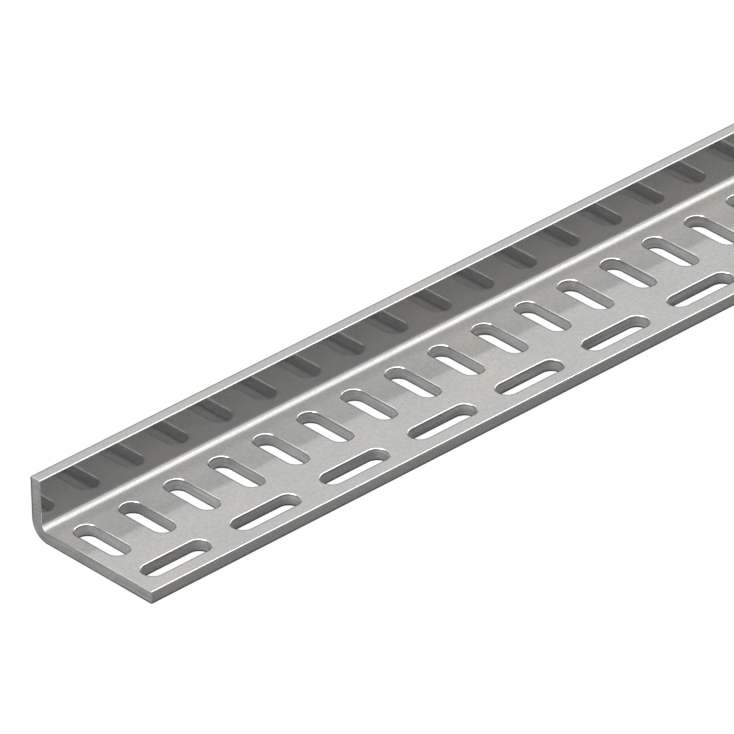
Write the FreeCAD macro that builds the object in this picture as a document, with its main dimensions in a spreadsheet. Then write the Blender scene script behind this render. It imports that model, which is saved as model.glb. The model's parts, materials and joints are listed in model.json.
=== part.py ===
import FreeCAD, Part
import math
import os
import Sketcher

# Perforated angle profile, cold formed from one strip of 4 mm stainless steel.
# The wide leg lies flat and carries two rows of slots. The narrow flange stands up along its far side.
# Frame: +X runs along the bar, +Y points from the free edge to the back of the flange, +Z is up.
# The origin is at the middle of the rectangle that the bar stands on.

# Driving dimensions in millimetres
DIMENSIONS = [
    ("stock_length", 2000.0, "length of one bar as it is sold"),
    ("leg_width", 50.0, "wide leg, from the free edge to the back of the flange"),
    ("flange_height", 20.0, "from the underside of the leg to the top of the flange"),
    ("thickness", 4.0, "strip thickness"),
    ("bend_radius", 2.0, "inside radius of the bend"),
    ("edge_radius", 0.3, "dressed corners of the strip's two long edges"),
    ("slot_width", 7.0, "both kinds of slot take an M6 bolt"),
    ("slot_pitch", 17.0, "from one cross slot to the next"),
    ("end_to_slot", 8.5, "from the end of the bar to the centre of its first cross slot"),
    ("cross_slot_length", 20.0, "cross slot, end to end, across the leg"),
    ("cross_slot_from_heel", 20.0, "from the back of the flange to the middle of the cross slots"),
    ("long_slot_length", 24.0, "long slot, end to end, along the leg"),
    ("long_slot_from_edge", 8.5, "from the free edge to the long slots' centre line"),
]

SHEET = "Dimensions"
NODE = "angle_profile"
START, END, CENTRE = 1, 2, 3
AXES, ORIGIN = -1, -1


def size(alias):
    """How an expression names one driving dimension."""
    return "<<" + SHEET + ">>." + alias


def make_sheet(doc):
    """The spreadsheet that holds the driving dimensions."""
    sheet = doc.addObject("Spreadsheet::Sheet", SHEET)
    for row, (alias, value, note) in enumerate(DIMENSIONS, start=1):
        sheet.set("A%d" % row, alias)
        sheet.set("B%d" % row, str(value))
        sheet.set("C%d" % row, note)
        sheet.setAlias("B%d" % row, alias)
    doc.recompute()
    return sheet


def origin_feature(body, role):
    """One of the body's own origin planes or axes."""
    return next(f for f in body.Origin.OriginFeatures if f.Role == role)


def new_sketch(body, name, role):
    """An empty sketch on one of the body's origin planes."""
    sketch = body.newObject("Sketcher::SketchObject", name)
    sketch.AttachmentSupport = [(origin_feature(body, role), "")]
    sketch.MapMode = "FlatFace"
    return sketch


def drive(sketch, name, expression, kind, *geometry):
    """A named dimension of a sketch, measured as it is drawn and then bound to the sheet."""
    measured = sketch.addConstraint(Sketcher.Constraint(kind, *geometry))
    sketch.renameConstraint(measured, name)
    sketch.setExpression("Constraints." + name, expression)


def arc(centre, radius, first, last):
    """An arc of a circle that runs anticlockwise between two angles in degrees."""
    circle = Part.Circle(FreeCAD.Vector(*centre, 0), FreeCAD.Vector(0, 0, 1), radius)
    return Part.ArcOfCircle(circle, math.radians(first), math.radians(last))


def line(start, end):
    return Part.LineSegment(FreeCAD.Vector(*start, 0), FreeCAD.Vector(*end, 0))


def draw_section(body, sheet):
    """The strip's section, seen along the bar: a wide leg, the bend and a narrow flange.

    Sketch x is the row's Y, and sketch y is its Z.
    """
    sketch = new_sketch(body, "Section", "YZ_Plane")
    half, top, wall = sheet.leg_width / 2, sheet.flange_height, sheet.thickness
    edge, inner = sheet.edge_radius, sheet.bend_radius
    outer = inner + wall
    flange_face = half - wall

    underside = sketch.addGeometry(line((edge - half, 0), (half - outer, 0)))
    heel = sketch.addGeometry(arc((half - outer, outer), outer, 270, 360))
    back = sketch.addGeometry(line((half, outer), (half, top - edge)))
    back_corner = sketch.addGeometry(arc((half - edge, top - edge), edge, 0, 90))
    rim = sketch.addGeometry(line((half - edge, top), (flange_face + edge, top)))
    front_corner = sketch.addGeometry(arc((flange_face + edge, top - edge), edge, 90, 180))
    front = sketch.addGeometry(line((flange_face, top - edge), (flange_face, wall + inner)))
    throat = sketch.addGeometry(arc((flange_face - inner, wall + inner), inner, 270, 360))
    deck = sketch.addGeometry(line((flange_face - inner, wall), (edge - half, wall)))
    upper_corner = sketch.addGeometry(arc((edge - half, wall - edge), edge, 90, 180))
    free_edge = sketch.addGeometry(line((-half, wall - edge), (-half, edge)))
    lower_corner = sketch.addGeometry(arc((edge - half, edge), edge, 180, 270))

    # Every line runs into its arcs without a kink. The throat is the one arc that turns the other way.
    joints = [
        (underside, END, heel, START),
        (heel, END, back, START),
        (back, END, back_corner, START),
        (back_corner, END, rim, START),
        (rim, END, front_corner, START),
        (front_corner, END, front, START),
        (front, END, throat, END),
        (throat, START, deck, START),
        (deck, END, upper_corner, START),
        (upper_corner, END, free_edge, START),
        (free_edge, END, lower_corner, START),
        (lower_corner, END, underside, START),
    ]
    for joint in joints:
        sketch.addConstraint(Sketcher.Constraint("Tangent", *joint))
    for level in (underside, rim, deck):
        sketch.addConstraint(Sketcher.Constraint("Horizontal", level))
    for upright in (back, front, free_edge):
        sketch.addConstraint(Sketcher.Constraint("Vertical", upright))
    sketch.addConstraint(Sketcher.Constraint("PointOnObject", underside, START, AXES))
    for corner in (front_corner, upper_corner, lower_corner):
        sketch.addConstraint(Sketcher.Constraint("Equal", back_corner, corner))

    half_width = size("leg_width") + " / 2"
    drive(sketch, "free_edge_offset", half_width, "DistanceX", free_edge, START, ORIGIN, START, half)
    drive(sketch, "back_offset", half_width, "DistanceX", ORIGIN, START, back, START, half)
    drive(sketch, "flange_height", size("flange_height"), "DistanceY", ORIGIN, START, rim, START, top)
    drive(sketch, "leg_thickness", size("thickness"), "DistanceY", ORIGIN, START, deck, START, wall)
    drive(sketch, "flange_thickness", size("thickness"), "DistanceX", front, START, back, END, wall)
    drive(sketch, "edge_radius", size("edge_radius"), "Radius", back_corner, edge)
    drive(sketch, "inside_radius", size("bend_radius"), "Radius", throat, inner)
    outside = size("bend_radius") + " + " + size("thickness")
    drive(sketch, "outside_radius", outside, "Radius", heel, outer)
    return sketch


def draw_slot(body, sheet, name, length_alias, centre, along_bar):
    """One slot with round ends, on the underside of the leg.

    The centre is two pairs, for X and for Y: its place now, and the expression that keeps it there.
    """
    sketch = new_sketch(body, name, "XY_Plane")
    radius = sheet.slot_width / 2
    length = getattr(sheet, length_alias)
    half_run = length / 2 - radius
    (x, x_expression), (y, y_expression) = centre
    if along_bar:
        first, last, turn = (x - half_run, y), (x + half_run, y), 0
        side = (0, radius)
    else:
        first, last, turn = (x, y - half_run), (x, y + half_run), 90
        side = (-radius, 0)

    def beside(point, sign):
        return (point[0] + sign * side[0], point[1] + sign * side[1])

    first_end = sketch.addGeometry(arc(first, radius, turn + 90, turn + 270))
    near_side = sketch.addGeometry(line(beside(first, -1), beside(last, -1)))
    last_end = sketch.addGeometry(arc(last, radius, turn - 90, turn + 90))
    far_side = sketch.addGeometry(line(beside(last, 1), beside(first, 1)))
    middle = sketch.addGeometry(Part.Point(FreeCAD.Vector(x, y, 0)), True)
    for joint in (
        (first_end, END, near_side, START),
        (near_side, END, last_end, START),
        (last_end, END, far_side, START),
        (far_side, END, first_end, START),
    ):
        sketch.addConstraint(Sketcher.Constraint("Tangent", *joint))
    direction = "Horizontal" if along_bar else "Vertical"
    sketch.addConstraint(Sketcher.Constraint(direction, near_side))
    sketch.addConstraint(
        Sketcher.Constraint("Symmetric", first_end, CENTRE, last_end, CENTRE, middle, START)
    )
    drive(sketch, "end_radius", size("slot_width") + " / 2", "Radius", first_end, radius)
    run_kind = "DistanceX" if along_bar else "DistanceY"
    run_expression = size(length_alias) + " - " + size("slot_width")
    drive(sketch, "straight_run", run_expression, run_kind,
          first_end, CENTRE, last_end, CENTRE, 2 * half_run)
    drive(sketch, "centre_x", x_expression, "DistanceX", ORIGIN, START, middle, START, x)
    drive(sketch, "centre_y", y_expression, "DistanceY", ORIGIN, START, middle, START, y)
    return sketch


def punch_row(body, doc, name, sketch, pitch_expression, count_expression):
    """Punches one slot through the leg and repeats it along the bar."""
    slot = body.newObject("PartDesign::Pocket", name + "Slot")
    slot.Profile = sketch
    slot.Type = "Length"
    slot.Reversed = True
    slot.setExpression("Length", size("thickness"))
    doc.recompute()
    row = body.newObject("PartDesign::LinearPattern", name + "Row")
    row.Originals = [slot]
    row.Direction = (origin_feature(body, "X_Axis"), [""])
    row.Mode = "Spacing"
    row.setExpression("Offset", pitch_expression)
    row.setExpression("Occurrences", count_expression)
    body.Tip = row
    doc.recompute()
    return row


def make_profile(doc, sheet):
    """The whole bar: the section drawn out to its length, then the two rows of slots."""
    body = doc.addObject("PartDesign::Body", NODE)
    body.Label = NODE

    bar = body.newObject("PartDesign::Pad", "Bar")
    bar.Profile = draw_section(body, sheet)
    bar.SideType = "Symmetric"
    bar.setExpression("Length", size("stock_length"))
    doc.recompute()

    half_length = sheet.stock_length / 2
    from_end = size("end_to_slot") + " - " + size("stock_length") + " / 2"
    cross_x = (sheet.end_to_slot - half_length, from_end)
    cross_y = (
        sheet.leg_width / 2 - sheet.cross_slot_from_heel,
        size("leg_width") + " / 2 - " + size("cross_slot_from_heel"),
    )
    cross_sketch = draw_slot(body, sheet, "CrossSlotOutline", "cross_slot_length",
                             (cross_x, cross_y), along_bar=False)
    free_length = size("stock_length") + " - 2 * " + size("end_to_slot")
    cross_count = "floor((" + free_length + ") / " + size("slot_pitch") + ") + 1"
    punch_row(body, doc, "Cross", cross_sketch, size("slot_pitch"), cross_count)

    # A long slot lies midway between two cross slots, and there is one for every second web
    long_x = (
        sheet.end_to_slot + sheet.slot_pitch / 2 - half_length,
        from_end + " + " + size("slot_pitch") + " / 2",
    )
    long_y = (
        sheet.long_slot_from_edge - sheet.leg_width / 2,
        size("long_slot_from_edge") + " - " + size("leg_width") + " / 2",
    )
    long_sketch = draw_slot(body, sheet, "LongSlotOutline", "long_slot_length",
                            (long_x, long_y), along_bar=True)
    long_count = "floor((" + free_length + " - " + size("slot_pitch") + ") / (2 * " + size("slot_pitch") + ")) + 1"
    punch_row(body, doc, "Long", long_sketch, "2 * " + size("slot_pitch"), long_count)
    return body


def check(doc, body):
    """Stops if any object failed to build, or if the bar isn't one closed solid."""
    for item in doc.Objects:
        if "Invalid" in item.State or "Error" in item.State:
            raise RuntimeError("%s failed to build: %s" % (item.Name, item.State))
    shape = body.Shape
    if shape.isNull() or not shape.isValid() or len(shape.Solids) != 1:
        raise RuntimeError("%s isn't one valid solid" % body.Label)


def main():
    doc = FreeCAD.newDocument("AngleProfile")
    sheet = make_sheet(doc)
    body = make_profile(doc, sheet)
    doc.recompute()
    check(doc, body)
    os.makedirs("parts", exist_ok=True)
    body.Shape.exportStep(os.path.join("parts", body.Label + ".step"))
    print("%s: volume %.0f mm3, box %s" % (body.Label, body.Shape.Volume, body.Shape.BoundBox))


main()
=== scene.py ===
"""Looks of a perforated angle profile: cold formed steel, two metres long, with two rows of slots.

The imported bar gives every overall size, and its fastening points give the slots. This script models
the bar again as finely as a close look needs, gives it its metal, and sets the floor, the cards, the
lamps and the camera. Lengths are in metres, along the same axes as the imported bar.
"""

import json
import logging
import math
from collections.abc import Callable, Iterator
from contextlib import contextmanager
from dataclasses import dataclass, field, replace
from enum import Enum

import bmesh
import bpy
from bmesh.types import BMEdge, BMFace
from bpy.types import Material, Node, NodeSocket, NodeTree, Object
from mathutils import Matrix, Vector


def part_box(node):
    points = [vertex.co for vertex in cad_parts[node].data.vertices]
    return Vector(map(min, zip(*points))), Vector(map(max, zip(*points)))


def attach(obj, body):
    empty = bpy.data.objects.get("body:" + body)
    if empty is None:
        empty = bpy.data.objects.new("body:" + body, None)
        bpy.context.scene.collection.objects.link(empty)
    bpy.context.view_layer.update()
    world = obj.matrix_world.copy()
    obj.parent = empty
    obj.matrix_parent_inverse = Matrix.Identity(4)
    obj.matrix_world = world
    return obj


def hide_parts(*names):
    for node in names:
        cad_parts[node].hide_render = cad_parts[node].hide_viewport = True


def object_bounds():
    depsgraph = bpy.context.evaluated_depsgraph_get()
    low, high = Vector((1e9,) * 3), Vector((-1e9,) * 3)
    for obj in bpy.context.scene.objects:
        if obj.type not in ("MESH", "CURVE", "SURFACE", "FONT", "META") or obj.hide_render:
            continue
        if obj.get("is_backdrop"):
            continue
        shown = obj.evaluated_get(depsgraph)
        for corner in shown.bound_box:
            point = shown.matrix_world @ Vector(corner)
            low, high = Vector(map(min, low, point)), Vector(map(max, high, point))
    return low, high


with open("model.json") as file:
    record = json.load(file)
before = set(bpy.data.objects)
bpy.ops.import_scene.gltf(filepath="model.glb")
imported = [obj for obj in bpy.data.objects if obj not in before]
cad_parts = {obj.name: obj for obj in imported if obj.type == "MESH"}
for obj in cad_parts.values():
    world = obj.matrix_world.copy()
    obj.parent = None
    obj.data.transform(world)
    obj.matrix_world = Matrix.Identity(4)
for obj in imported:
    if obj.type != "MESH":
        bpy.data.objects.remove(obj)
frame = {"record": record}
PACKED_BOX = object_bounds()

LOG = logging.getLogger("angle_profile")

NODE = "angle_profile"
BODY = "root"

MM = 0.001
NEAR = 0.01 * MM

# A face looks straight along an axis where that part of its normal is above SQUARE, and it leans
# that way where it is above LEANING.
SQUARE = 0.99
LEANING = 0.1

# How much of the painted bend highlight's reach is painted at full strength.
HIGHLIGHT_CORE = 0.25

Test = Callable[[BMFace], bool] | Callable[[BMEdge], bool]


class SlotRun(Enum):
    """Which way a slot runs on the leg."""

    ACROSS = "across the leg"
    ALONG = "along the leg"


class Skin(Enum):
    """The surfaces that one strip of metal shows, in the order of the bar's material slots."""

    ROLLED = 0
    # The inside of the bend and the flange, with a painted highlight and painted shade.
    FLANGE = 1
    PUNCHED = 2
    SAWN = 3
    # Worn edges, brighter still with a painted highlight.
    WEAR_AND_HIGHLIGHT = 4
    # Edges darkened as painted shade.
    EDGE_SHADE = 5
    SLIT = 6


def deselect_everything() -> None:
    """Leaves no object selected, so that the next operator acts on nothing else."""
    bpy.ops.object.select_all(action="DESELECT")


def make_only(piece: Object) -> None:
    """Selects one object alone and makes it the active one.

    Args:
        piece: The object that the next operators act on.
    """
    deselect_everything()
    piece.select_set(True)
    bpy.context.view_layer.objects.active = piece


@contextmanager
def editing(piece: Object, mode: str = "FACE") -> Iterator[Callable[[Test], int]]:
    """Opens an object in edit mode with nothing selected, and closes it again.

    Args:
        piece: The object to edit.
        mode: What is selected: VERT, EDGE or FACE.

    Returns:
        A function that selects the faces, or the edges, that pass a test, and returns how many do.
    """

    def pick(wanted: Test) -> int:
        cage = bmesh.from_edit_mesh(piece.data)
        parts = cage.faces if mode == "FACE" else cage.edges
        for part in parts:
            part.select_set(False)
        chosen = [part for part in parts if wanted(part)]
        for part in chosen:
            part.select_set(True)
        bmesh.update_edit_mesh(piece.data)
        return len(chosen)

    make_only(piece)
    bpy.ops.object.mode_set(mode="EDIT")
    bpy.ops.mesh.select_mode(type=mode)
    bpy.ops.mesh.select_all(action="DESELECT")
    yield pick
    bpy.ops.object.mode_set(mode="OBJECT")


def merge_vertices() -> None:
    """Selects all of the mesh in edit mode and merges vertices that lie on each other."""
    bpy.ops.mesh.select_all(action="SELECT")
    bpy.ops.mesh.remove_doubles(threshold=NEAR)


def apply_place() -> None:
    """Moves the active object's place, turn and size into its mesh."""
    bpy.ops.object.transform_apply(location=True, rotation=True, scale=True)


def add_block(name: str, low: Vector, high: Vector) -> Object:
    """A block between two corners, with its place and size in its mesh.

    Args:
        name: The object's name.
        low: The corner with the lowest coordinates.
        high: The corner with the highest coordinates.

    Returns:
        The new object.
    """
    deselect_everything()
    bpy.ops.mesh.primitive_cube_add(size=1.0, location=(low + high) / 2)
    block = bpy.context.active_object
    block.name = name
    block.scale = high - low
    apply_place()
    return block


def add_plane(name: str, middle: Vector, length: float, width: float, tilt: float = 0.0) -> Object:
    """A flat sheet, with its place and size in its mesh.

    Args:
        name: The object's name.
        middle: Where its middle is.
        length: Its side along the bar.
        width: Its other side.
        tilt: Turn about the bar's direction, in degrees: 0 lies flat and 90 stands up.

    Returns:
        The new object.
    """
    deselect_everything()
    bpy.ops.mesh.primitive_plane_add(size=1.0, location=middle, rotation=(math.radians(tilt), 0.0, 0.0))
    plane = bpy.context.active_object
    plane.name = name
    plane.scale = (length, width, 1.0)
    apply_place()
    return plane


def assign_skin(piece: Object, skin: Skin) -> None:
    """Gives the selected faces of an object in edit mode one of its materials."""
    piece.active_material_index = skin.value
    bpy.ops.object.material_slot_assign()


def give_skin(piece: Object, skin: Skin, wanted: Test) -> None:
    """Gives the faces of an object that pass a test one of its materials.

    Args:
        piece: The object.
        skin: The material.
        wanted: The test that a face has to pass.
    """
    with editing(piece) as pick:
        pick(wanted)
        assign_skin(piece, skin)


def join(pieces: list[Object]) -> Object:
    """Joins objects into the first of them, the only one that is left.

    Args:
        pieces: The objects.

    Returns:
        The joined object.
    """
    make_only(pieces[0])
    for piece in pieces[1:]:
        piece.select_set(True)
    bpy.ops.object.join()
    return pieces[0]


class NodeSheet:
    """A node tree that is being drawn up, for a material or for the world."""

    def __init__(self, tree: NodeTree) -> None:
        """Takes the tree and clears it.

        Args:
            tree: The tree to draw on.
        """
        self.tree = tree
        self.tree.nodes.clear()

    def add(self, kind: str, inputs: dict[str | int, object] | None = None, **settings: object) -> Node:
        """Adds a node.

        Args:
            kind: The node's type.
            inputs: What its inputs hold or are linked to, by name or by number.
            settings: Properties of the node, by name.

        Returns:
            The new node.
        """
        node = self.tree.nodes.new(kind)
        for name, value in settings.items():
            setattr(node, name, value)
        for name, value in (inputs or {}).items():
            self.feed(node.inputs[name], value)
        return node

    def feed(self, target: NodeSocket, value: object) -> None:
        """Links a socket to another, or sets it to a number or a vector."""
        if isinstance(value, NodeSocket):
            self.tree.links.new(value, target)
        else:
            target.default_value = value

    def calculate(self, operation: str, *values: NodeSocket | float) -> NodeSocket:
        """Adds a Math node.

        Args:
            operation: What it works out.
            values: Its inputs, sockets or numbers.

        Returns:
            Its output.
        """
        return self.add("ShaderNodeMath", dict(enumerate(values)), operation=operation).outputs[0]

    def reckon(self, operation: str, *values: NodeSocket | Vector, output: str = "Vector") -> NodeSocket:
        """Adds a Vector Math node.

        Args:
            operation: What it works out.
            values: Its inputs, sockets or vectors.
            output: Which result is wanted, Vector or Value.

        Returns:
            That result.
        """
        return self.add("ShaderNodeVectorMath", dict(enumerate(values)), operation=operation).outputs[output]

    def split(self, place: NodeSocket) -> tuple[NodeSocket, ...]:
        """Splits a vector into its X, Y and Z."""
        return tuple(self.add("ShaderNodeSeparateXYZ", {"Vector": place}).outputs)

    def blend(self, share: NodeSocket, first: NodeSocket | float, second: NodeSocket | float) -> NodeSocket:
        """Adds a mix of two values.

        Args:
            share: How much of the second value it takes, from 0 to 1.
            first: The value at 0.
            second: The value at 1.

        Returns:
            The mixed value.
        """
        inputs = {"Factor": share, "A": first, "B": second}
        return self.add("ShaderNodeMix", inputs, data_type="FLOAT", clamp_factor=True).outputs["Result"]

    def remap(
        self, value: NodeSocket, low: float, high: float, to_low: float = 0.0, to_high: float = 1.0
    ) -> NodeSocket:
        """Stretches a value from one range to another, and clamps it there.

        Args:
            value: The value.
            low: The value that becomes to_low.
            high: The value that becomes to_high.
            to_low: The result at low.
            to_high: The result at high.

        Returns:
            The stretched value.
        """
        inputs = {"Value": value, "From Min": low, "From Max": high, "To Min": to_low, "To Max": to_high}
        return self.add("ShaderNodeMapRange", inputs, interpolation_type="SMOOTHSTEP").outputs["Result"]

    def close(self, shader: NodeSocket, kind: str = "Material") -> None:
        """Leads a shader to the tree's output.

        Args:
            shader: The shader.
            kind: What the tree is for: Material or World.
        """
        self.add(f"ShaderNodeOutput{kind}", {"Surface": shader})


def new_material(name: str) -> tuple[Material, NodeSheet]:
    """Makes a material with no nodes.

    Args:
        name: Its name.

    Returns:
        The material and the sheet that its nodes are drawn on.
    """
    material = bpy.data.materials.new(name)
    material.use_nodes = True
    return material, NodeSheet(material.node_tree)


def new_group(name: str, inputs: dict[str, float | None], outputs: tuple[str, ...]) -> NodeSheet:
    """Makes a node group that has its sockets and nothing else.

    Args:
        name: Its name.
        inputs: What each input holds when nothing is linked to it, or None for a vector.
        outputs: Its outputs, all of them numbers.

    Returns:
        The sheet that its nodes are drawn on.
    """
    sheet = NodeSheet(bpy.data.node_groups.new(name, "ShaderNodeTree"))
    add_socket = sheet.tree.interface.new_socket
    for title, value in inputs.items():
        if value is None:
            add_socket(name=title, in_out="INPUT", socket_type="NodeSocketVector")
        else:
            add_socket(name=title, in_out="INPUT", socket_type="NodeSocketFloat").default_value = value
    for title in outputs:
        add_socket(name=title, in_out="OUTPUT", socket_type="NodeSocketFloat")
    return sheet


def make_unevenness() -> NodeTree:
    """A node group that every finish uses: a cloudy field about one, of any size and strength.

    Returns:
        The group, with the inputs Place, Fineness, Detail and Amount and the outputs Factor and Cloud.
    """
    inputs = {"Place": None, "Fineness": 100.0, "Detail": 2.0, "Amount": 0.1}
    sheet = new_group("unevenness", inputs, ("Factor", "Cloud"))
    given = sheet.add("NodeGroupInput").outputs
    clouds = {"Vector": given["Place"], "Scale": given["Fineness"], "Detail": given["Detail"]}
    cloud = sheet.add("ShaderNodeTexNoise", clouds, noise_dimensions="3D").outputs["Fac"]
    doubled = sheet.calculate("MULTIPLY", sheet.calculate("SUBTRACT", cloud, 0.5), 2.0)
    factor = sheet.calculate("ADD", sheet.calculate("MULTIPLY", doubled, given["Amount"]), 1.0)
    sheet.add("NodeGroupOutput", {"Factor": factor, "Cloud": cloud})
    return sheet.tree


def make_bend_highlight_group() -> NodeTree:
    """A node group that paints a highlight on the inside of the bend.

    Returns:
        The group, with the inputs Place, Middle, Reach and Gain and the output Factor, which is one away
        from the bend.
    """
    inputs = {"Place": None, "Middle": None, "Reach": 1.9 * MM, "Gain": 0.5}
    sheet = new_group("bend_rub", inputs, ("Factor",))
    given = sheet.add("NodeGroupInput").outputs
    flat = sheet.reckon("MULTIPLY", given["Place"], Vector((0.0, 1.0, 1.0)))
    away = sheet.reckon("DISTANCE", flat, given["Middle"], output="Value")
    highlighted = sheet.remap(sheet.calculate("DIVIDE", away, given["Reach"]), 1.0, HIGHLIGHT_CORE)
    factor = sheet.calculate("ADD", sheet.calculate("MULTIPLY", highlighted, given["Gain"]), 1.0)
    sheet.add("NodeGroupOutput", {"Factor": factor})
    return sheet.tree


UNEVENNESS = make_unevenness()
BEND_HIGHLIGHT_GROUP = make_bend_highlight_group()


def is_upright(edge: BMEdge) -> bool:
    """True for an edge that runs straight up."""
    start, end = (vertex.co for vertex in edge.verts)
    return abs(end.x - start.x) < NEAR and abs(end.y - start.y) < NEAR


@dataclass(frozen=True)
class SlotShape:
    """One punched slot with half round ends.

    Attributes:
        x: Where its centre is along the bar, from the near end.
        y: Where its centre is across the leg.
        length: End to end.
        width: Side to side.
        run: Which way it runs.
    """

    x: float
    y: float
    length: float
    width: float
    run: SlotRun

    QUARTER_STEPS = 8

    @property
    def reach(self) -> Vector:
        """How far the centre of a round end is from the slot's own centre."""
        straight = (self.length - self.width) / 2
        return Vector((0.0, straight, 0.0)) if self.run is SlotRun.ACROSS else Vector((straight, 0.0, 0.0))

    def cutter(self, depth: float) -> Object:
        """A punch of the slot's shape: a block rounded at its upright corners until its ends are half round.

        Args:
            depth: How far the punch reaches above and below the strip's underside.

        Returns:
            The punch.
        """
        long, wide = self.length / 2, self.width / 2
        size = Vector((wide, long, depth)) if self.run is SlotRun.ACROSS else Vector((long, wide, depth))
        centre = Vector((self.x, self.y, 0.0))
        punch = add_block("punch", centre - size, centre + size)
        with editing(punch, "EDGE") as pick:
            pick(is_upright)
            bpy.ops.mesh.bevel(offset=wide, segments=self.QUARTER_STEPS, affect="EDGES")
            merge_vertices()
        return punch


@dataclass(frozen=True)
class ShadedSlotRow:
    """A row of slots, with painted shade on the leg's surface on one side of each slot.

    Attributes:
        slot: The row's first slot.
        pitch: From one slot to the next.
        start: Where the bar starts, along X.
        stop: Where the row stops, along X.
    """

    slot: SlotShape
    pitch: float
    start: float
    stop: float

    # From the slot's edge to where the painted shade starts and to where it is full, the way to the
    # shaded side, and how far that way it starts and is full.
    BAND = (0.6 * MM, 0.42 * MM)
    SIDE = Vector((-0.668, -0.744, 0.0))
    TURN = (0.0, 0.8 * MM)

    def mask(self, sheet: NodeSheet, place: NodeSocket) -> NodeSocket:
        """Adds the nodes that find the side of the row's slots that gets painted shade.

        Args:
            sheet: The material's nodes.
            place: Where on the bar a point is.

        Returns:
            A value that is one beside a slot, towards the near end and the free edge, and zero elsewhere.
        """
        x, y, _ = sheet.split(place)
        along = sheet.calculate("SUBTRACT", x, self.start + self.slot.x)
        wrapped = sheet.calculate("WRAP", along, self.pitch / 2, -self.pitch / 2)
        offsets = {"X": wrapped, "Y": sheet.calculate("SUBTRACT", y, self.slot.y)}
        offset = sheet.add("ShaderNodeCombineXYZ", offsets).outputs["Vector"]
        nearest = sheet.reckon("MAXIMUM", sheet.reckon("MINIMUM", offset, self.slot.reach), -self.slot.reach)
        outward = sheet.reckon("SUBTRACT", offset, nearest)
        away = sheet.reckon("LENGTH", outward, output="Value")
        band = sheet.remap(away, *(self.slot.width / 2 + limit for limit in self.BAND))
        side = sheet.remap(sheet.reckon("DOT_PRODUCT", outward, self.SIDE, output="Value"), *self.TURN)
        inside = sheet.calculate("LESS_THAN", x, self.stop)
        return sheet.calculate("MULTIPLY", sheet.calculate("MULTIPLY", band, side), inside)


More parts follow.
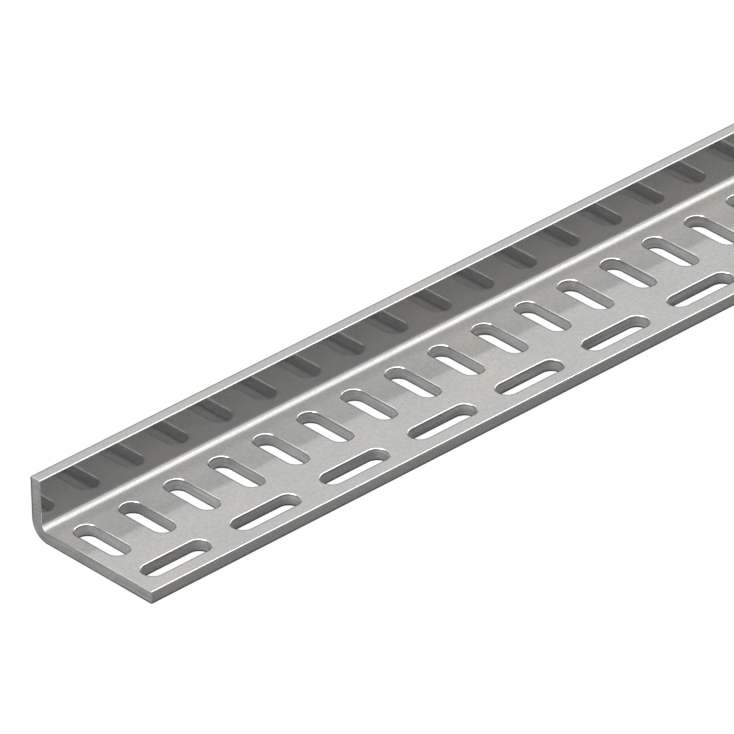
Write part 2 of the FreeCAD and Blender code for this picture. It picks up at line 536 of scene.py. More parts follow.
@dataclass(frozen=True)
class MetalFinish:
    """One surface of the strip: bare steel under a thin clear film of oil.

    Attributes:
        name: The material's name.
        colour: Colour where the metal is cleanest.
        warm_colour: Colour of the faintly stained patches.
        roughness: Roughness of the metal under the film.
        film_roughness: Roughness of the film.
        film_index: Refractive index of the film.
        film_weight: How much of the surface the film covers.
        patch_fineness: Patches per metre.
        patch_amount: How much lighter and darker the patches are.
        grain_fineness: Grains per metre.
        grain_amount: How much lighter and darker the grains are.
        line_stretch: Stretch of the lines' pattern along X, Y and Z.
        line_fineness: Lines per metre.
        line_amount: How much lighter and darker the lines are.
        relief: Height of the lines and grains.
        painted_bend_highlight: How much brighter the inside of the bend is painted, as a painted highlight.
        hem_painted_light: How much brighter the leg is painted next to the bend, as painted light that lifts
            the flange's shade there.
        flange_painted_shade: How much darker the flange is painted, as painted shade.
        foot_painted_shade: How much darker an upright cut is painted near the underside, as painted shade
            where it meets the floor.
        lip_loss: How much darker a slot's wall is right under the leg's upper face.
        slot_side_shade: How much darker the leg is painted beside the slots, as painted shade on their near
            side.
        back_loss: How much darker it is next to the flange's back.
        back_heights: From where to where that starts, going up.
    """

    name: str
    colour: tuple[float, float, float]
    warm_colour: tuple[float, float, float]
    roughness: float
    film_roughness: float = 0.09
    film_index: float = 2.0
    film_weight: float = 1.0
    patch_fineness: float = 45.0
    patch_amount: float = 0.1
    grain_fineness: float = 1400.0
    grain_amount: float = 0.2
    line_stretch: tuple[float, float, float] = (0.02, 1.0, 1.0)
    line_fineness: float = 1500.0
    line_amount: float = 0.03
    relief: float = 0.004 * MM
    painted_bend_highlight: float = 0.0
    hem_painted_light: float = 0.0
    flange_painted_shade: float = 0.0
    foot_painted_shade: float = 0.0
    lip_loss: float = 0.0
    slot_side_shade: float = 0.0
    back_loss: float = 0.0
    back_heights: tuple[float, float] = (19.6 * MM, 19.8 * MM)

    # Levels of finer clouds in the three patterns, and the clouds that are stained.
    PATCH_DETAIL = 3.0
    GRAIN_DETAIL = 1.0
    LINE_DETAIL = 2.0
    STAINED_CLOUDS = (0.5, 0.72)

    # Where on the bar a local change of shade starts and is full, across the leg or going up.
    BEND_MIDDLE = (0.0, 20.618 * MM, 4.824 * MM)
    HEM_START = (3.0 * MM, 18.0 * MM)
    HEM_STOP = (18.4 * MM, 20.0 * MM)
    FLANGE_SHADE_HEIGHTS = (5.2 * MM, 5.7 * MM)
    FOOT_HEIGHTS = (0.35 * MM, 0.65 * MM)
    LIP_HEIGHTS = (3.15 * MM, 3.4 * MM)
    DECK_HEIGHTS = (3.8 * MM, 3.95 * MM)
    BACK_SIDES = (24.15 * MM, 24.35 * MM)

    def material(self, rows: tuple[ShadedSlotRow, ...]) -> Material:
        """Makes the finish's material.

        Args:
            rows: The bar's rows of slots.

        Returns:
            The new material.
        """
        material, sheet = new_material(self.name)
        place = sheet.add("ShaderNodeTexCoord").outputs["Object"]
        stretch = {"Vector": place, "Scale": self.line_stretch}
        stretched = sheet.add("ShaderNodeMapping", stretch).outputs["Vector"]
        clouds = (
            (place, self.patch_fineness, self.PATCH_DETAIL, self.patch_amount),
            (place, self.grain_fineness, self.GRAIN_DETAIL, self.grain_amount),
            (stretched, self.line_fineness, self.LINE_DETAIL, self.line_amount),
        )
        titles = ("Place", "Fineness", "Detail", "Amount")
        patches, grain, lines = (
            sheet.add("ShaderNodeGroup", dict(zip(titles, values)), node_tree=UNEVENNESS).outputs
            for values in clouds
        )

        shade = sheet.calculate("MULTIPLY", patches["Factor"], grain["Factor"])
        for change in (lines["Factor"], *self.local_shades(sheet, place, rows)):
            shade = sheet.calculate("MULTIPLY", shade, change)
        stained = sheet.remap(patches["Cloud"], *self.STAINED_CLOUDS)
        tints = {"Factor": stained, "A": (*self.colour, 1.0), "B": (*self.warm_colour, 1.0)}
        tint = sheet.add("ShaderNodeMix", tints, data_type="RGBA", clamp_factor=True)
        shaded = {"Vector": tint.outputs["Result"], "Scale": shade}
        colour = sheet.add("ShaderNodeVectorMath", shaded, operation="SCALE")
        height = sheet.calculate("ADD", lines["Cloud"], grain["Cloud"])
        bump = sheet.add("ShaderNodeBump", {"Strength": 1.0, "Distance": self.relief, "Height": height})
        steel = {
            "Base Color": colour.outputs["Vector"],
            "Metallic": 1.0,
            "Roughness": sheet.calculate("MULTIPLY", lines["Factor"], self.roughness),
            "Normal": bump.outputs["Normal"],
            "Coat Weight": self.film_weight,
            "Coat IOR": self.film_index,
            "Coat Roughness": self.film_roughness,
        }
        sheet.close(sheet.add("ShaderNodeBsdfPrincipled", steel).outputs["BSDF"])
        return material

    def local_shades(
        self, sheet: NodeSheet, place: NodeSocket, rows: tuple[ShadedSlotRow, ...]
    ) -> Iterator[NodeSocket]:
        """Adds what lightens or darkens only a part of the bar: painted highlight and painted light near the
        bend, painted shade on the flange, at the foot of upright cuts and beside the slots, and darkening
        under the slots' lip and next to the flange's back.

        Args:
            sheet: The material's nodes.
            place: Where on the bar a point is.
            rows: The bar's rows of slots.

        Returns:
            The changes one by one, as factors that are one away from their own part.
        """
        _, y, z = sheet.split(place)
        # Painted highlight inside the bend.
        if self.painted_bend_highlight:
            inputs = {"Place": place, "Middle": self.BEND_MIDDLE, "Gain": self.painted_bend_highlight}
            yield sheet.add("ShaderNodeGroup", inputs, node_tree=BEND_HIGHLIGHT_GROUP).outputs["Factor"]
        # Painted light on the leg next to the bend.
        if self.hem_painted_light:
            fall = sheet.remap(y, *self.HEM_STOP, 1.0, 0.0)
            hem = sheet.calculate("MULTIPLY", sheet.remap(y, *self.HEM_START), fall)
            yield sheet.calculate("MULTIPLY_ADD", hem, self.hem_painted_light, 1.0)
        # Painted shade on the flange.
        if self.flange_painted_shade:
            yield sheet.remap(z, *self.FLANGE_SHADE_HEIGHTS, 1.0, 1.0 - self.flange_painted_shade)
        # Painted shade at the foot of upright cuts.
        if self.foot_painted_shade:
            yield sheet.remap(z, *self.FOOT_HEIGHTS, 1.0 - self.foot_painted_shade, 1.0)
        if self.lip_loss:
            yield sheet.remap(z, *self.LIP_HEIGHTS, 1.0, 1.0 - self.lip_loss)
        # Painted shade beside the slots, on their near side.
        if self.slot_side_shade:
            slot_side_shaded = sheet.calculate("MAXIMUM", *(row.mask(sheet, place) for row in rows))
            lost = sheet.calculate("MULTIPLY", slot_side_shaded, sheet.remap(z, *self.DECK_HEIGHTS))
            yield sheet.blend(lost, 1.0, 1.0 - self.slot_side_shade)
        if self.back_loss:
            above = sheet.remap(z, *self.back_heights)
            lost = sheet.calculate("MULTIPLY", sheet.remap(y, *self.BACK_SIDES), above)
            yield sheet.blend(lost, 1.0, 1.0 - self.back_loss)


# The leg and the rim, with painted light next to the bend and painted shade beside the slots.
ROLLED = MetalFinish(
    name="rolled_skin",
    colour=(0.42, 0.4175, 0.41),
    warm_colour=(0.436, 0.4185, 0.392),
    roughness=0.52,
    film_roughness=0.075,
    film_index=1.8,
    hem_painted_light=0.34,
    slot_side_shade=0.85,
    back_loss=0.5,
)
# The inside of the bend and the flange: a copy of the rolled skin with a painted highlight in the bend,
# painted light next to it and painted shade on the flange.
FLANGE = MetalFinish(
    name="flange_skin",
    colour=(0.42, 0.4175, 0.4115),
    warm_colour=(0.42, 0.411, 0.399),
    roughness=0.52,
    film_roughness=0.075,
    film_index=2.3,
    painted_bend_highlight=0.58,
    hem_painted_light=0.34,
    flange_painted_shade=0.7,
)
# Slot walls, with painted shade at their foot.
PUNCHED = MetalFinish(
    name="punched_wall",
    colour=(0.62, 0.617, 0.61),
    warm_colour=(0.62, 0.61, 0.592),
    roughness=0.58,
    film_weight=0.4,
    line_stretch=(0.05, 0.05, 1.0),
    line_fineness=1100.0,
    line_amount=0.34,
    foot_painted_shade=0.75,
    lip_loss=0.35,
)
# The sawn end, with painted shade at its foot.
SAWN = MetalFinish(
    name="sawn_end",
    colour=(0.63, 0.627, 0.62),
    warm_colour=(0.63, 0.62, 0.60),
    roughness=0.55,
    film_weight=0.5,
    line_stretch=(1.0, 0.06, 1.0),
    line_fineness=1300.0,
    line_amount=0.3,
    foot_painted_shade=0.8,
    back_loss=0.5,
    back_heights=(5.0 * MM, 7.0 * MM),
)
# Worn edges, made brighter still as a painted highlight.
WEAR_AND_HIGHLIGHT = MetalFinish(
    name="worn_edge",
    colour=(0.88, 0.877, 0.87),
    warm_colour=(0.88, 0.87, 0.85),
    roughness=0.12,
    line_amount=0.05,
)
# Edges darkened as painted shade, where they look down, back or away from the lamps.
EDGE_SHADE = MetalFinish(
    name="stained_edge",
    colour=(0.15, 0.149, 0.147),
    warm_colour=(0.15, 0.147, 0.142),
    roughness=0.5,
    film_weight=0.0,
)
# The slit edge, with painted shade at its foot.
SLIT = replace(
    ROLLED, name="slit_edge", line_amount=0.1, hem_painted_light=0.0, foot_painted_shade=0.7, slot_side_shade=0.0, back_loss=0.0
)
FINISHES = [ROLLED, FLANGE, PUNCHED, SAWN, WEAR_AND_HIGHLIGHT, EDGE_SHADE, SLIT]


@dataclass(frozen=True)
class StripSection:
    """The strip's section: a wide leg that lies flat, a bend, and a flange that stands up.

    Attributes:
        free_edge: Where the leg's free edge is across the bar.
        back: Where the back of the flange is across the bar.
        top: Height of the flange's rim.
        thickness: Thickness of the strip.
        inside_radius: Inside radius of the bend.
    """

    free_edge: float
    back: float
    top: float
    thickness: float
    inside_radius: float = 2.0 * MM

    BEND_STEPS = 14
    EDGE_ROUNDING = 0.26 * MM
    OUTER_ROUNDING = 0.42 * MM
    LOWER_ROUNDING = 0.12 * MM
    EDGE_STEPS = 3

    @property
    def bend_centre(self) -> tuple[float, float]:
        """Where the bend's axis crosses the section, across the bar and up."""
        outside_radius = self.inside_radius + self.thickness
        return self.back - outside_radius, outside_radius

    def draw(self, name: str, length: float, skins: list[Material]) -> Object:
        """A plain length of the strip that starts at x = 0: leg, bend and flange, with rounded long edges.

        Args:
            name: The object's name.
            length: How long it is.
            skins: The materials, in the order of Skin.

        Returns:
            The length of strip, closed at both ends.
        """
        bend_y, bend_z = self.bend_centre
        strip = add_block(name, Vector((0, self.free_edge, 0)), Vector((length, bend_y, self.thickness)))
        for skin in skins:
            strip.data.materials.append(skin)
        with editing(strip) as pick:
            pick(lambda face: face.normal.y > SQUARE)
            bpy.ops.mesh.spin(
                steps=self.BEND_STEPS, angle=math.radians(-90), center=(0, bend_y, bend_z), axis=(1, 0, 0)
            )
            pick(lambda face: abs(face.calc_center_median().z - bend_z) < NEAR)
            bpy.ops.mesh.extrude_region_move(TRANSFORM_OT_translate={"value": (0, 0, self.top - bend_z)})
            merge_vertices()
            bpy.ops.mesh.normals_make_consistent(inside=False)
        # Corners that look up get wear and a painted highlight; the lower corner and the rim's outer corner
        # get painted shade.
        corners = (
            (self.is_inner_corner, self.EDGE_ROUNDING, Skin.WEAR_AND_HIGHLIGHT),
            (self.is_lower_corner, self.LOWER_ROUNDING, Skin.EDGE_SHADE),
            (self.is_outer_corner, self.OUTER_ROUNDING, Skin.EDGE_SHADE),
        )
        for wanted, radius, skin in corners:
            with editing(strip, "EDGE") as pick:
                pick(wanted)
                bpy.ops.mesh.bevel(
                    offset=radius, segments=self.EDGE_STEPS, affect="EDGES", material=skin.value
                )
        # The inside of the bend and the flange takes the finish with the painted highlight and painted shade.
        give_skin(strip, Skin.FLANGE, self.is_inside)
        give_skin(strip, Skin.SLIT, self.is_slit)
        return strip

    def is_inside(self, face: BMFace) -> bool:
        """True for a face on the inside of the bend or of the flange."""
        if abs(face.normal.x) > SQUARE:
            return False
        bend_y, bend_z = self.bend_centre
        centre = face.calc_center_median()
        if centre.z > bend_z:
            return face.normal.y < -SQUARE and centre.y > bend_y
        away = math.hypot(centre.y - bend_y, centre.z - bend_z)
        return centre.y > bend_y and away < self.inside_radius + self.thickness / 2

    def is_slit(self, face: BMFace) -> bool:
        """True for the flat face of the leg's free edge, where the strip was slit."""
        return face.normal.y < -SQUARE and face.calc_center_median().y < self.free_edge + NEAR

    def is_long_corner(self, edge: BMEdge) -> bool:
        """True for the four sharp corners that run along the strip: two at the free edge, two at the rim."""
        start, end = (vertex.co for vertex in edge.verts)
        along = abs(end.y - start.y) < NEAR and abs(end.z - start.z) < NEAR
        at_free_edge = abs(start.y - self.free_edge) < NEAR
        at_rim = abs(start.z - self.top) < NEAR
        return along and (at_free_edge or at_rim)

    def is_outer_corner(self, edge: BMEdge) -> bool:
        """True for the corner between the rim and the back."""
        return self.is_long_corner(edge) and abs(edge.verts[0].co.y - self.back) < NEAR

    def is_lower_corner(self, edge: BMEdge) -> bool:
        """True for the corner between the free edge and the underside."""
        return self.is_long_corner(edge) and abs(edge.verts[0].co.z) < NEAR

    def is_inner_corner(self, edge: BMEdge) -> bool:
        """True for the long corners that are worn and painted bright as a highlight: above the free edge and
        inside the rim.
        """
        return self.is_long_corner(edge) and not self.is_outer_corner(edge) and not self.is_lower_corner(edge)


@dataclass
class PunchedBar:
    """The whole bar: one module of strip with its slots, repeated, and a tail with what is left over.

    Attributes:
        section: The strip's section.
        cross: The first slot that runs across the leg.
        long: The first slot that runs along it.
        pitch: From one cross slot to the next. The long slots are two pitches apart.
        low: The bar's corner with the lowest coordinates.
        high: The bar's corner with the highest coordinates.
        skins: The materials, in the order of Skin.
    """

    section: StripSection
    cross: SlotShape
    long: SlotShape
    pitch: float
    low: Vector
    high: Vector
    skins: list[Material] = field(default_factory=list)

    PUNCH_ROUNDING = 0.3 * MM
    EXIT_ROUNDING = 0.12 * MM
    SLOT_STEPS = 3
    END_ROUNDING = 0.2 * MM
    END_STEPS = 2
    END_LEANING = 0.2
    SHARP_ANGLE = 40.0
    FLAT_WEIGHT = 100

    @property
    def length(self) -> float:
        """How long the bar is."""
        return self.high.x - self.low.x

    @property
    def module(self) -> float:
        """The length after which the slots repeat."""
        return 2 * self.pitch

    @property
    def repeated_length(self) -> float:
        """How much of the bar whole modules make up."""
        return self.length // self.module * self.module

    def shaded_slot_rows(self) -> tuple[ShadedSlotRow, ShadedSlotRow]:
        """The two rows of slots, as the finishes need them."""
        start = self.low.x
        stop = start + self.repeated_length
        return (
            ShadedSlotRow(slot=self.cross, pitch=self.pitch, start=start, stop=stop + self.pitch),
            ShadedSlotRow(slot=self.long, pitch=self.module, start=start, stop=stop),
        )

    def punched_length(self, name: str, length: float, slots: list[SlotShape]) -> Object:
        """A length of strip with its slots, open at both ends.

        Args:
            name: The object's name.
            length: How long it is.
            slots: The slots, measured from its own near end.

        Returns:
            The punched length.
        """
        strip = self.section.draw(name, length, self.skins)
        punch = join([slot.cutter(2 * self.section.thickness) for slot in slots])
        make_only(strip)
        cut = strip.modifiers.new("slots", "BOOLEAN")
        cut.operation = "DIFFERENCE"
        cut.solver = "EXACT"
        cut.object = punch
        bpy.ops.object.modifier_apply(modifier=cut.name)
        bpy.data.objects.remove(punch)
        give_skin(strip, Skin.PUNCHED, self.is_slot_wall)
        # Upper roundings of the slots get wear and a painted highlight, lower roundings painted shade.
        self.round_slots(strip, self.section.thickness, length, self.PUNCH_ROUNDING, Skin.WEAR_AND_HIGHLIGHT)
        self.round_slots(strip, 0.0, length, self.EXIT_ROUNDING, Skin.EDGE_SHADE)
        # The upper roundings on the slots' near side get painted shade instead.
        give_skin(strip, Skin.EDGE_SHADE, self.is_near_side_slot_corner)
        with editing(strip) as pick:
            pick(lambda face: self.is_end(face, length))
            bpy.ops.mesh.delete(type="FACE")
        return strip

    def is_in_leg(self, place: Vector) -> bool:
        """True for a place between the free edge and the bend."""
        bend_y, _ = self.section.bend_centre
        return self.section.free_edge + self.section.thickness / 2 < place.y < bend_y

    def is_slot_wall(self, face: BMFace) -> bool:
        """True for an upright face that a punch left in the leg."""
        centre = face.calc_center_median()
        halfway = abs(centre.z - self.section.thickness / 2) < NEAR
        return halfway and abs(face.normal.z) < LEANING and self.is_in_leg(centre)

    def is_near_side_slot_corner(self, face: BMFace) -> bool:
        """True for a rounding of a slot's upper corners that looks towards the far end or the flange."""
        centre = face.calc_center_median()
        rounded = centre.z > self.section.thickness - self.PUNCH_ROUNDING and LEANING < face.normal.z < SQUARE
        return rounded and self.is_in_leg(centre) and face.normal.x + face.normal.y > LEANING

    @staticmethod
    def is_end(face: BMFace, length: float) -> bool:
        """True for a face that closes one end of a length of strip."""
        x = face.calc_center_median().x
        return abs(face.normal.x) > SQUARE and (abs(x) < NEAR or abs(x - length) < NEAR)

    def round_slots(
        self, strip: Object, level: float, length: float, radius: float, skin: Skin
    ) -> None:
        """Rounds the slots' corners on one side of the leg.

        Args:
            strip: The punched strip.
            level: Height of the side whose corners are rounded.
            length: Length of the strip, whose ends stay sharp.
            radius: How far the rounding reaches.
            skin: What it is made of.
        """

        def is_slot_corner(edge: BMEdge) -> bool:
            start, end = (vertex.co for vertex in edge.verts)
            if abs(start.z - level) > NEAR or abs(end.z - level) > NEAR or len(edge.link_faces) != 2:
                return False
            if abs(end.x - start.x) < NEAR and (abs(start.x) < NEAR or abs(start.x - length) < NEAR):
                return False
            upright, flat = sorted(abs(face.normal.z) for face in edge.link_faces)
            return upright < LEANING and flat > SQUARE

        with editing(strip, "EDGE") as pick:
            found = pick(is_slot_corner)
            LOG.info("rounding %d edges at %.1f mm", found, level / MM)
            bpy.ops.mesh.bevel(
                offset=radius, segments=self.SLOT_STEPS, affect="EDGES", loop_slide=False, material=skin.value
            )

    def build(self) -> Object:
        """Models the whole bar.

        Returns:
            The bar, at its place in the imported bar's frame.
        """
        second = replace(self.cross, x=self.cross.x + self.pitch)
        bar = self.punched_length("punched_angle", self.module, [self.cross, second, self.long])
        self.repeat(bar)
        tail = self.punched_length("tail", self.length - self.repeated_length, [self.cross])
        self.move_along(tail, self.repeated_length)
        bar = join([bar, tail])
        with editing(bar, "VERT"):
            merge_vertices()
        for x in (0.0, self.length):
            self.close_end(bar, x)
        self.move_along(bar, self.low.x)
        bpy.ops.object.shade_smooth_by_angle(angle=math.radians(self.SHARP_ANGLE))
        flatten = bar.modifiers.new("flat faces stay flat", "WEIGHTED_NORMAL")
        flatten.keep_sharp = True
        flatten.weight = self.FLAT_WEIGHT
        bpy.ops.object.modifier_apply(modifier=flatten.name)
        return bar

    def repeat(self, piece: Object) -> None:
        """Repeats the first module for as long as a whole one fits in the bar."""
        rows = piece.modifiers.new("modules", "ARRAY")
        rows.count = int(self.length // self.module)
        rows.use_relative_offset = False
        rows.use_constant_offset = True
        rows.constant_offset_displace = (self.module, 0, 0)
        rows.use_merge_vertices = True
        rows.merge_threshold = NEAR
        make_only(piece)
        bpy.ops.object.modifier_apply(modifier=rows.name)

    @staticmethod
    def move_along(piece: Object, distance: float) -> None:
        """Moves a piece along the bar."""
        make_only(piece)
        bpy.ops.transform.translate(value=(distance, 0, 0))
        apply_place()

    def close_end(self, bar: Object, x: float) -> None:
        """Fills one end of the bar and dresses its outline.

        Args:
            bar: The bar, with its near end at x = 0.
            x: Where the end is.
        """
        with editing(bar, "EDGE") as pick:
            pick(lambda edge: edge.is_boundary and abs(edge.verts[0].co.x - x) < NEAR)
            bpy.ops.mesh.edge_face_add()
            assign_skin(bar, Skin.SAWN)
            bpy.ops.mesh.select_all(action="SELECT")
            bpy.ops.mesh.normals_make_consistent(inside=False)
        # The end's outline gets wear and a painted highlight.
        with editing(bar, "EDGE") as pick:
            pick(lambda edge: self.is_end_outline(edge, x))
            bpy.ops.mesh.bevel(
                offset=self.END_ROUNDING,
                segments=self.END_STEPS,
                affect="EDGES",
                loop_slide=False,
                material=Skin.WEAR_AND_HIGHLIGHT.value,
            )
        # Its roundings towards the underside, the back and the free edge get painted shade.
        give_skin(bar, Skin.EDGE_SHADE, lambda face: self.is_outer_end_rounding(face, x))

    def is_outer_end_rounding(self, face: BMFace, x: float) -> bool:
        """True for the rounding of an end towards the underside, the back and the free edge."""
        centre = face.calc_center_median()
        if abs(centre.x - x) > self.END_ROUNDING or not LEANING < abs(face.normal.x) < SQUARE:
            return False
        bend_y, _ = self.section.bend_centre
        return face.normal.z < -self.END_LEANING or (face.normal.y > self.END_LEANING and centre.y > bend_y)

    @staticmethod
    def is_end_outline(edge: BMEdge, x: float) -> bool:
        """True for an edge between an end face and the bar's sides."""
        return all(abs(vertex.co.x - x) < NEAR for vertex in edge.verts) and len(edge.link_faces) == 2


def read_slots(name: str, run: SlotRun, start: float) -> tuple[SlotShape, float]:
    """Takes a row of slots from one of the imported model's fastening points.

    Args:
        name: The fastening point's name. It lies in the middle of the slots that it states.
        run: Which way they run.
        start: Where the bar starts.

    Returns:
        The row's first slot, and the distance from one slot to the next.
    """
    mount = next(mount for mount in frame["record"]["mounts"] if mount["name"] == name)
    dims = mount["dims"]
    spacing = dims["spacing_x_mm"] * MM
    first = SlotShape(
        x=mount["pos_m"][0] - spacing * (dims["count"] - 1) / 2 - start,
        y=mount["pos_m"][1],
        length=dims["slot_length_mm"] * MM,
        width=2 * dims["hole_r_mm"] * MM,
        run=run,
    )
    return first, spacing


def read_bar() -> PunchedBar:
    """Takes the bar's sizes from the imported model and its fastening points.

    Returns:
        The bar, ready to be modelled.
    """
    low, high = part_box(NODE)
    deck = next(mount["pos_m"][2] for mount in frame["record"]["mounts"] if mount["name"] == "deck")
    section = StripSection(free_edge=low.y, back=high.y, top=high.z, thickness=deck)
    cross, pitch = read_slots("near_cross_slots", SlotRun.ACROSS, low.x)
    long, _ = read_slots("near_long_slots", SlotRun.ALONG, low.x)
    bar = PunchedBar(section=section, cross=cross, long=long, pitch=pitch, low=low, high=high)
    bar.skins = [finish.material(bar.shaded_slot_rows()) for finish in FINISHES]
    return bar


@dataclass(frozen=True)
class StudioLamp:
    """A soft rectangular lamp that faces the middle of the bar.

    Attributes:
        name: The lamp's name.
        place: Where it hangs.
        length: Its longer side, along the bar where it hangs beside or above it.
        width: Its other side.
        level: How bright it looks, where 1 is white.
    """

    name: str
    place: tuple[float, float, float]
    length: float
    width: float
    level: float

    def hang(self) -> None:
        """Makes the lamp and turns it to the bar."""
        lamp = bpy.data.lights.new(self.name, "AREA")
        lamp.shape = "RECTANGLE"
        lamp.size = self.length
        lamp.size_y = self.width
        lamp.energy = math.pi * self.length * self.width * self.level
        hung = bpy.data.objects.new(self.name, lamp)
        bpy.context.scene.collection.objects.link(hung)
        hung.location = self.place
        hung.rotation_euler = (-Vector(self.place)).to_track_quat("-Z", "Y").to_euler()
        hung.visible_camera = False


@dataclass(frozen=True)
class DarkCard:
    """A long card that stands beside the bar and darkens what its upright faces mirror.

    Attributes:
        name: The card's name.
        away: How far in front of the bar it stands, or behind it where that is above zero.
        height: How high it is.
        length: How long it is along the bar.
        tone: How pale it is.
    """

    name: str
    away: float
    height: float
    length: float = 9.0
    tone: float = 0.25

    def stand(self) -> None:
        """Makes the card, which the camera doesn't see."""
        middle = Vector((0.0, self.away, self.height / 2))
        card = add_plane(self.name, middle, self.length, self.height, tilt=90.0)
        material, sheet = new_material(self.name)
        matt = sheet.add("ShaderNodeBsdfDiffuse", {"Color": (self.tone, self.tone, self.tone, 1.0)})
        sheet.close(matt.outputs["BSDF"])
        card.data.materials.append(material)
        card.visible_camera = False
        card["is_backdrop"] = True


@dataclass(frozen=True)
class PaperFloor:
    """A large sheet of white paper under the bar, with a soft shadow of the bar on it.

    The camera, and metal that mirrors the open floor, see it white. Next to the bar the metal sees a painted
    shade instead: darker paper that stands in for the shade there. Under the cross slots that painted shade
    changes with the way it is seen: dark to metal that mirrors it towards the front left, and pale to the
    rest.

    Attributes:
        size: Length of its sides.
        drop: How far it lies below the bar's underside.
        glow: How much of its white is the same in the shadow.
        paper: How pale it is where it is seen.
        beside: How pale the metal sees it next to the bar, as painted shade.
        ahead: The same just beyond the bar's ends.
        beneath: The same under the leg's free edge and its long slots.
        way_shade_pale: The same under the cross slots, seen from most ways.
        way_shade_dark: The same there, seen by metal that mirrors it towards the front left.
        way_shade_turn: From where to where that painted shade turns dark, as the way back to the metal along
            SHADE_WAY.
        way_shade_edge: Where that painted shade starts, across the bar.
        leg_sides: From where to where it turns from beneath to beside, across the bar.
        leg_ends: From where to where the painted shade under the bar ends, along the bar.
        open_sides: From where to where the painted shade ends, across the bar.
        open_ends: From where to where the painted shade ends, along the bar.
    """

    size: float = 30.0
    drop: float = 0.3 * MM
    glow: float = 0.96
    paper: float = 0.85
    beside: float = 0.22
    ahead: float = 0.135
    beneath: float = 0.12
    way_shade_pale: float = 0.38
    way_shade_dark: float = 0.18
    way_shade_turn: tuple[float, float] = (0.2, 0.9)
    way_shade_edge: tuple[float, float] = (-0.0085, -0.0065)
    leg_sides: tuple[float, float] = (0.023, 0.027)
    leg_ends: tuple[float, float] = (0.998, 1.0)
    open_sides: tuple[float, float] = (0.06, 0.25)
    open_ends: tuple[float, float] = (1.12, 1.6)

    SHADE_WAY = Vector((1.0, 1.0, 0.0))

    def lay(self) -> None:
        """Makes the floor."""
        floor = add_plane("floor", Vector((0.0, 0.0, -self.drop)), self.size, self.size)
        floor.data.materials.append(self.material())
        floor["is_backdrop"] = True

    def material(self) -> Material:
        """Makes the paper's material.

        Returns:
            The new material.
        """
        material, sheet = new_material("white_paper")
        place = sheet.add("ShaderNodeTexCoord").outputs["Object"]
        along, across, _ = sheet.split(sheet.reckon("ABSOLUTE", place))
        rays = sheet.add("ShaderNodeLightPath")
        seen = sheet.calculate("MAXIMUM", rays.outputs["Is Camera Ray"], rays.outputs["Is Transmission Ray"])

        # The metal sees painted shade on the paper near the bar; the camera sees plain paper.
        shade = self.shade(sheet, place, along, across)
        tones = {"Factor": seen, "A": shade, "B": (self.paper, self.paper, self.paper, 1.0)}
        tone = sheet.add("ShaderNodeMix", tones, data_type="RGBA")
        paper = sheet.add("ShaderNodeBsdfDiffuse", {"Color": tone.outputs["Result"]})

        beside = sheet.remap(across, *self.open_sides)
        beyond = sheet.remap(along, *self.open_ends)
        open_floor = sheet.calculate("MAXIMUM", beside, beyond)
        mirrored = sheet.calculate("MULTIPLY", rays.outputs["Is Glossy Ray"], open_floor)
        bright = sheet.calculate("MAXIMUM", seen, mirrored)
        white = sheet.add("ShaderNodeEmission", {"Strength": 1.0})
        glow = sheet.calculate("MULTIPLY", bright, self.glow)
        parts = {"Fac": glow, 1: paper.outputs["BSDF"], 2: white.outputs["Emission"]}
        sheet.close(sheet.add("ShaderNodeMixShader", parts).outputs["Shader"])
        return material

    def shade(
        self, sheet: NodeSheet, place: NodeSocket, along: NodeSocket, across: NodeSocket
    ) -> NodeSocket:
        """Adds the painted shade that the metal sees on the paper next to the bar and under it.

        Args:
            sheet: The paper's nodes.
            place: Where on the floor a point is.
            along: How far it is from the bar's middle, along the bar.
            across: How far it is from there across the bar.

        Returns:
            The paper's tone.
        """
        # Under the cross slots the painted shade changes with the way the metal looks at the paper.
        back = sheet.add("ShaderNodeNewGeometry").outputs["Incoming"]
        way = sheet.reckon("DOT_PRODUCT", back, self.SHADE_WAY, output="Value")
        way_shade = sheet.remap(way, *self.way_shade_turn, self.way_shade_pale, self.way_shade_dark)
        _, side, _ = sheet.split(place)
        covered = sheet.remap(along, *self.leg_ends, 1.0, 0.0)
        way_shaded = sheet.calculate("MULTIPLY", covered, sheet.remap(side, *self.way_shade_edge))
        under = sheet.blend(way_shaded, self.beneath, way_shade)
        outside = sheet.remap(across, *self.leg_sides)
        return sheet.blend(covered, self.ahead, sheet.blend(outside, under, self.beside))


@dataclass(frozen=True)
class Studio:
    """A plain white room with its floor, its cards and its lamps.

    Attributes:
        floor: The floor.
        cards: The dark cards.
        lamps: The lamps.
        room: How bright the room is, where 1 is white.
    """

    floor: PaperFloor
    cards: tuple[DarkCard, ...]
    lamps: tuple[StudioLamp, ...]
    room: float = 1.0

    def set_up(self) -> None:
        """Makes all of it, with the room as the scene's world."""
        self.floor.lay()
        for card in self.cards:
            card.stand()
        for lamp in self.lamps:
            lamp.hang()
        world = bpy.data.worlds.new("white_room")
        world.use_nodes = True
        sheet = NodeSheet(world.node_tree)
        white = sheet.add("ShaderNodeBackground", {"Color": (1.0, 1.0, 1.0, 1.0), "Strength": self.room})
        sheet.close(white.outputs["Background"], kind="World")
        bpy.context.scene.world = world
        bpy.context.scene.view_settings.view_transform = "Standard"


STUDIO = Studio(
    floor=PaperFloor(),
    cards=(
        DarkCard(name="front_card", away=-1.5, height=1.6),
        DarkCard(name="back_card", away=1.5, height=1.1),
    ),
    lamps=(
        StudioLamp(name="key_strip", place=(0.0, -1.17, 1.5), length=7.0, width=0.6, level=1.6),
        StudioLamp(name="low_strip", place=(0.0, -1.22, 0.44), length=7.0, width=0.3, level=1.2),
        StudioLamp(name="overhead_strip", place=(0.0, 0.28, 1.98), length=7.0, width=1.05, level=1.7),
        StudioLamp(name="end_panel", place=(-3.4, 0.0, 1.35), length=2.4, width=2.6, level=2.5),
    ),
)


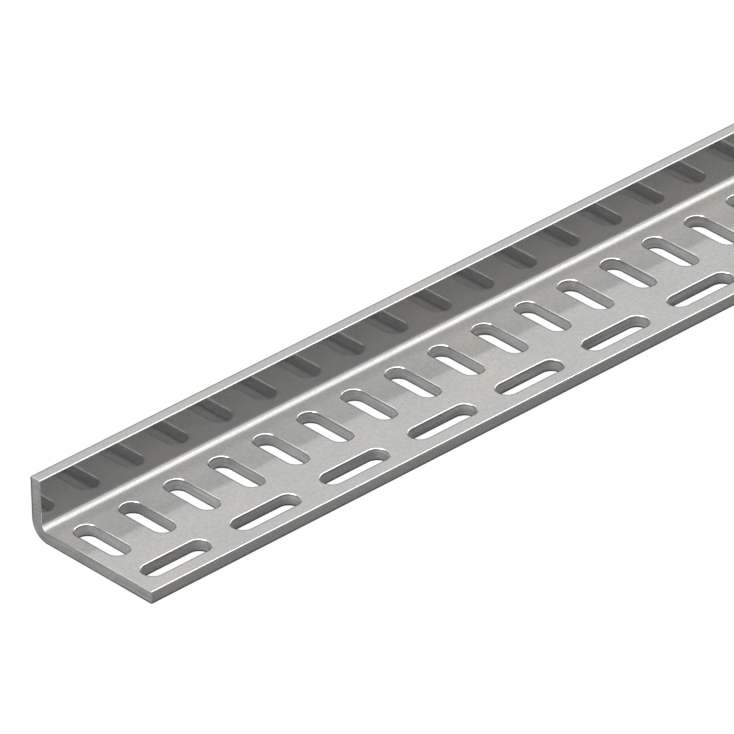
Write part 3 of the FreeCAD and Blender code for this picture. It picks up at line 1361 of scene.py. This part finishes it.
@dataclass(frozen=True)
class StudioCamera:
    """A long lens that looks at the bar's near end.

    Attributes:
        aim: The point of the leg's upper face at the middle of the picture.
        azimuth: Turn about the vertical, in degrees: 0 looks along +Y.
        elevation: Angle above the horizon, in degrees.
        roll: Turn about the line of sight, in degrees.
        distance: From the aim to the lens.
        lens: Focal length in millimetres.
        sensor: Width of the film in millimetres.
        reach: How far the camera sees.
    """

    aim: tuple[float, float, float]
    azimuth: float
    elevation: float
    roll: float
    distance: float
    lens: float
    sensor: float = 36.0
    reach: float = 100.0

    def place(self) -> None:
        """Makes the camera and gives it to the scene."""
        camera = bpy.data.cameras.new("camera")
        camera.sensor_width = self.sensor
        camera.lens = self.lens
        camera.clip_end = self.reach
        stand = bpy.data.objects.new("camera", camera)
        bpy.context.scene.collection.objects.link(stand)
        azimuth = math.radians(self.azimuth)
        elevation = math.radians(self.elevation)
        turn = (
            Matrix.Rotation(azimuth, 4, "Z")
            @ Matrix.Rotation(math.pi / 2 - elevation, 4, "X")
            @ Matrix.Rotation(math.radians(self.roll), 4, "Z")
        )
        level = math.cos(elevation)
        back = Vector((math.sin(azimuth) * level, -math.cos(azimuth) * level, math.sin(elevation)))
        stand.matrix_world = Matrix.Translation(Vector(self.aim) + back * self.distance) @ turn
        bpy.context.scene.camera = stand


PHOTO_CAMERA = StudioCamera(
    aim=(-0.8763724, 0.0201228, 0.0041017),
    azimuth=-41.922,
    elevation=31.653,
    roll=-1.582,
    distance=3.7371777,
    lens=640.83,
)


def main() -> None:
    """Builds the bar, the stage and the camera, in that order."""
    logging.basicConfig(level=logging.INFO, format="%(name)s: %(message)s")
    bar = read_bar().build()
    LOG.info("bar: %d faces", len(bar.data.polygons))
    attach(bar, BODY)
    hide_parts(NODE)
    STUDIO.set_up()
    LOG.info("studio: %d cards and %d lamps", len(STUDIO.cards), len(STUDIO.lamps))
    PHOTO_CAMERA.place()
    boxes = {"cad": PACKED_BOX, "visual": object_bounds()}
    {name: [list(corner) for corner in box] for name, box in boxes.items()}


if __name__ == "__main__":
    main()
